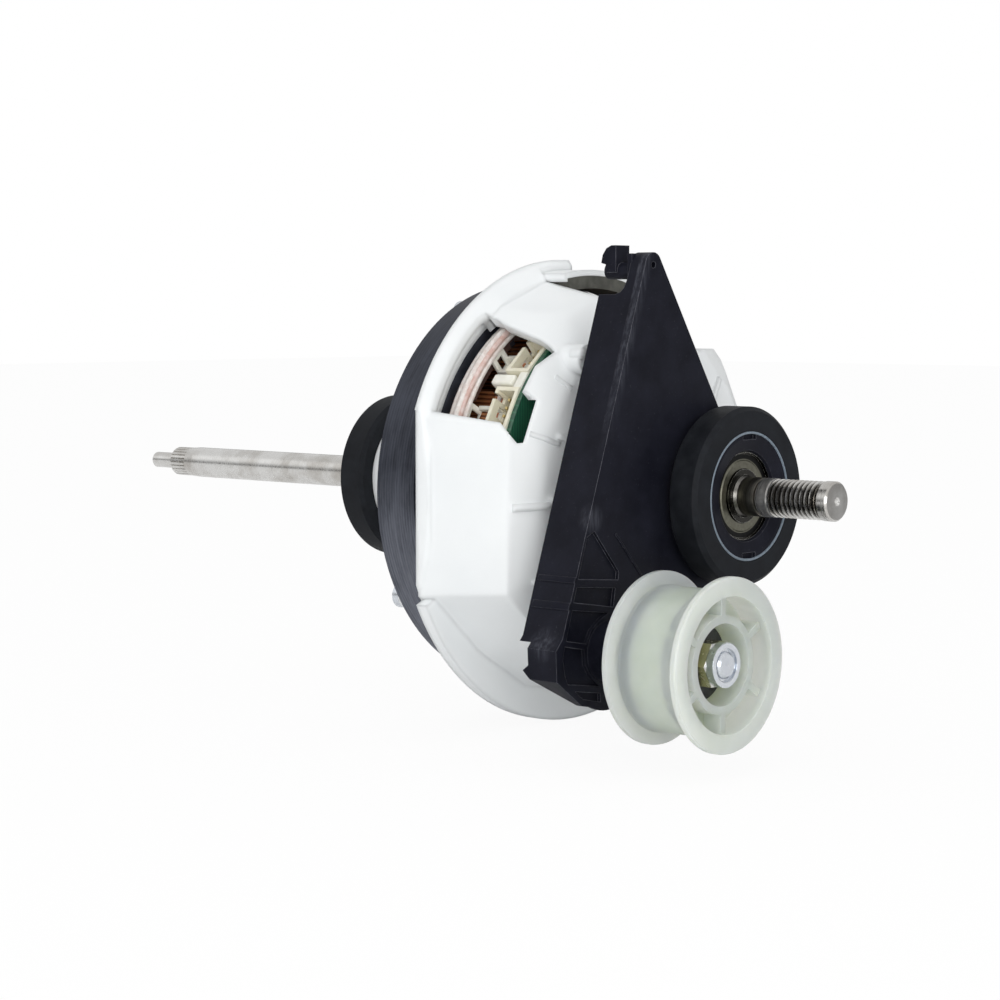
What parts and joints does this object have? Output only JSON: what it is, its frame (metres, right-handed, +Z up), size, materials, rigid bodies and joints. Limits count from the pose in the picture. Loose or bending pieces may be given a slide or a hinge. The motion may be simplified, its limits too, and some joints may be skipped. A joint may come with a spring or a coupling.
{
  "type": "dryer motor",
  "caption": "Belt-drive tumble dryer motor with grooved shaft end, rubber mounting rings, open-windowed white cover and a swinging belt tensioner with roller",
  "frame": {"origin": "on the shaft axis, at the outer face of the front rubber ring", "axes": "+X along the shaft to its grooved belt end, +Z up towards the spring hook of the tensioner"},
  "size_m": [0.2837, 0.137, 0.1389],
  "materials": {
    "black_moulding": "satin",
    "dark_rubber": "matte",
    "white_moulding": "satin",
    "grey_moulding": "satin",
    "bright_steel": "polished",
    "shield_steel": "satin",
    "stack_steel": "satin",
    "magnet": "matte",
    "end_ring": "satin",
    "copper_wire": "gloss",
    "lead_sleeve": "satin",
    "zinc_steel": "satin",
    "dark_washer": "satin",
    "board_laminate": "satin",
    "cream_plastic": "satin",
    "pin_brass": "polished",
    "roller_plastic": "satin"
  },
  "bodies": {
    "housing": {"front_cover": "white_moulding", "rear_cover": "white_moulding", "stator_core": "stack_steel", "stator_coils": "copper_wire", "front_insulator": "white_moulding", "rear_insulator": "white_moulding", "lead_bundle": "lead_sleeve", "circuit_board": "board_laminate", "board_screws": "zinc_steel", "upper_header": "cream_plastic", "lower_header": "cream_plastic", "header_pins": "pin_brass", "cover_screws": "zinc_steel", "front_bearing_holder": "black_moulding", "rear_bearing_holder": "white_moulding", "front_rubber_ring": "dark_rubber", "rear_rubber_ring": "dark_rubber", "front_bearing_outer_race": "bright_steel", "rear_bearing_outer_race": "bright_steel", "front_bearing_outer_shield": "shield_steel", "front_bearing_inner_shield": "shield_steel", "rear_bearing_outer_shield": "shield_steel", "rear_bearing_inner_shield": "shield_steel", "rear_wave_washer": "bright_steel"},
    "rotor": {"shaft": "bright_steel", "rotor_core": "stack_steel", "rotor_magnets": "magnet", "front_rotor_end_ring": "end_ring", "rear_rotor_end_ring": "end_ring", "sensor_magnet": "magnet", "front_bearing_inner_race": "bright_steel", "rear_bearing_inner_race": "bright_steel"},
    "front_ball_set": {"front_bearing_balls": "bright_steel", "front_bearing_cage": "grey_moulding"},
    "rear_ball_set": {"rear_bearing_balls": "bright_steel", "rear_bearing_cage": "grey_moulding"},
    "tensioner": {"tensioner_arm": "black_moulding", "roller_bolt": "zinc_steel", "roller_sleeve": "bright_steel", "roller_rear_washer": "bright_steel", "roller_front_washer": "dark_washer", "roller_lock_nut": "zinc_steel"},
    "roller": {"tensioner_roller": "roller_plastic"}
  },
  "joints": [
    {"name": "shaft_spin", "type": "hinge", "parent": "housing", "child": "rotor", "pos_m": [0, 0, 0], "axis": [1, 0, 0], "continuous": true},
    {"name": "front_cage_spin", "type": "hinge", "parent": "housing", "child": "front_ball_set", "pos_m": [-0.006, 0, 0], "axis": [1, 0, 0], "continuous": true},
    {"name": "rear_cage_spin", "type": "hinge", "parent": "housing", "child": "rear_ball_set", "pos_m": [-0.13275, 0, 0], "axis": [1, 0, 0], "continuous": true},
    {"name": "tensioner_swing", "type": "hinge", "parent": "housing", "child": "tensioner", "pos_m": [-0.019, 0, 0], "axis": [1, 0, 0], "range_deg": [-12, 12]},
    {"name": "roller_spin", "type": "hinge", "parent": "tensioner", "child": "roller", "pos_m": [0.0132, -0.0476, -0.0397], "axis": [1, 0, 0], "continuous": true}
  ],
  "couplings": [
    {"joint": "front_cage_spin", "follows": "shaft_spin", "ratio": 0.3825},
    {"joint": "rear_cage_spin", "follows": "shaft_spin", "ratio": 0.3694}
  ]
}
